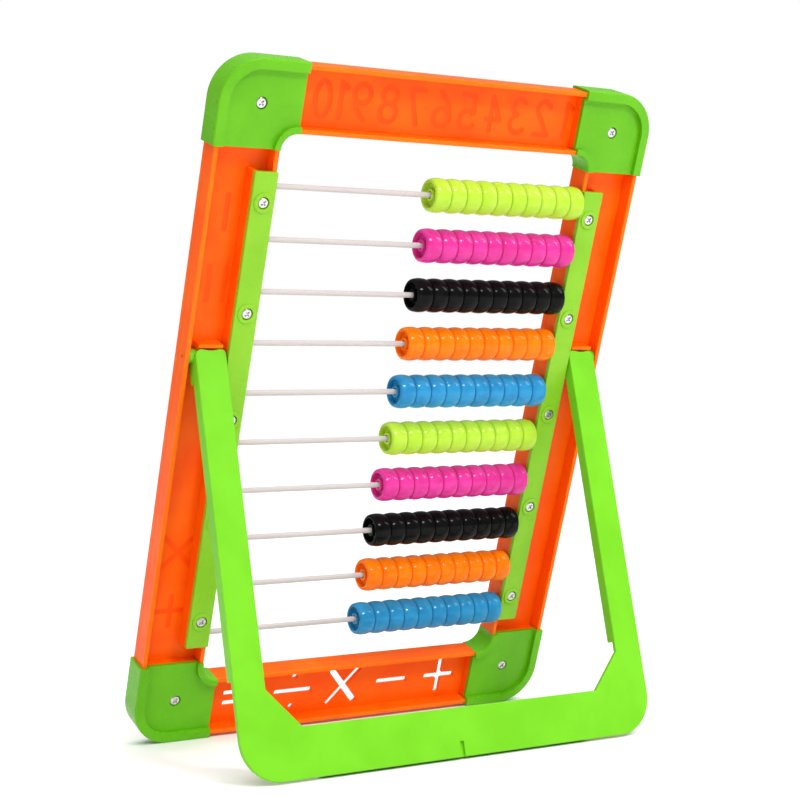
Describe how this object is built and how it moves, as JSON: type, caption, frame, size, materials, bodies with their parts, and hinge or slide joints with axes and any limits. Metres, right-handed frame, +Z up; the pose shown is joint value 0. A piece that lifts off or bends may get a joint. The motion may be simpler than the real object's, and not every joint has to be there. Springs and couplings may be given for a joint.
{
  "type": "abacus",
  "caption": "Leaning counting abacus: channel frame with corner caps, rods with rows of sliding beads, and a folding U-shaped rear stand.",
  "frame": {"origin": "bottom centre of the standing abacus's bounding box, on the table", "axes": "+Z up, the front with the raised digits faces -Y, the rods run along X"},
  "size_m": [0.22, 0.1198, 0.2983],
  "materials": {
    "orange_plastic": "semi-gloss, faintly translucent orange",
    "cap_green_plastic": "semi-gloss green",
    "clamp_green_plastic": "semi-gloss yellow-green",
    "stand_green_plastic": "semi-gloss light green",
    "screw_steel": "bright plated steel",
    "rod_coating": "smooth off-white coating",
    "lime_bead": "high gloss",
    "magenta_bead": "high gloss",
    "black_bead": "high gloss",
    "orange_bead": "high gloss",
    "blue_bead": "high gloss"
  },
  "bodies": {
    "frame": {"left_rail": "orange_plastic", "right_rail": "orange_plastic", "top_rail": "orange_plastic", "bottom_rail": "orange_plastic", "top_left_cap": "cap_green_plastic", "top_right_cap": "cap_green_plastic", "bottom_left_cap": "cap_green_plastic", "bottom_right_cap": "cap_green_plastic", "left_rod_clamp": "clamp_green_plastic", "right_rod_clamp": "clamp_green_plastic", "left_clamp_screws": "screw_steel", "right_clamp_screws": "screw_steel", "cap_screws": "screw_steel", "rod_01": "rod_coating", "rod_02": "rod_coating", "rod_03": "rod_coating", "rod_04": "rod_coating", "rod_05": "rod_coating", "rod_06": "rod_coating", "rod_07": "rod_coating", "rod_08": "rod_coating", "rod_09": "rod_coating", "rod_10": "rod_coating"},
    "row_01": {"beads_row_01": "lime_bead"},
    "row_02": {"beads_row_02": "magenta_bead"},
    "row_03": {"beads_row_03": "black_bead"},
    "row_04": {"beads_row_04": "orange_bead"},
    "row_05": {"beads_row_05": "blue_bead"},
    "row_06": {"beads_row_06": "lime_bead"},
    "row_07": {"beads_row_07": "magenta_bead"},
    "row_08": {"beads_row_08": "black_bead"},
    "row_09": {"beads_row_09": "orange_bead"},
    "row_10": {"beads_row_10": "blue_bead"},
    "stand": {"rear_stand": "stand_green_plastic"}
  },
  "joints": [
    {"name": "row_01_slide", "type": "slide", "parent": "frame", "child": "row_01", "axis": [1, 0, 0], "range_m": [-0.0012, 0.07566]},
    {"name": "row_02_slide", "type": "slide", "parent": "frame", "child": "row_02", "axis": [1, 0, 0], "range_m": [-0.0012, 0.07566]},
    {"name": "row_03_slide", "type": "slide", "parent": "frame", "child": "row_03", "axis": [1, 0, 0], "range_m": [-0.0012, 0.07566]},
    {"name": "row_04_slide", "type": "slide", "parent": "frame", "child": "row_04", "axis": [1, 0, 0], "range_m": [-0.0012, 0.07566]},
    {"name": "row_05_slide", "type": "slide", "parent": "frame", "child": "row_05", "axis": [1, 0, 0], "range_m": [-0.0012, 0.07566]},
    {"name": "row_06_slide", "type": "slide", "parent": "frame", "child": "row_06", "axis": [1, 0, 0], "range_m": [-0.0012, 0.07566]},
    {"name": "row_07_slide", "type": "slide", "parent": "frame", "child": "row_07", "axis": [1, 0, 0], "range_m": [-0.0012, 0.07566]},
    {"name": "row_08_slide", "type": "slide", "parent": "frame", "child": "row_08", "axis": [1, 0, 0], "range_m": [-0.0012, 0.07566]},
    {"name": "row_09_slide", "type": "slide", "parent": "frame", "child": "row_09", "axis": [1, 0, 0], "range_m": [-0.0012, 0.07566]},
    {"name": "row_10_slide", "type": "slide", "parent": "frame", "child": "row_10", "axis": [1, 0, 0], "range_m": [-0.0012, 0.07566]},
    {"name": "stand_hinge", "type": "hinge", "parent": "frame", "child": "stand", "pos_m": [0, 0.01205, 0.17509], "axis": [-1, 0, 0], "range_deg": [0, 33.85]}
  ]
}
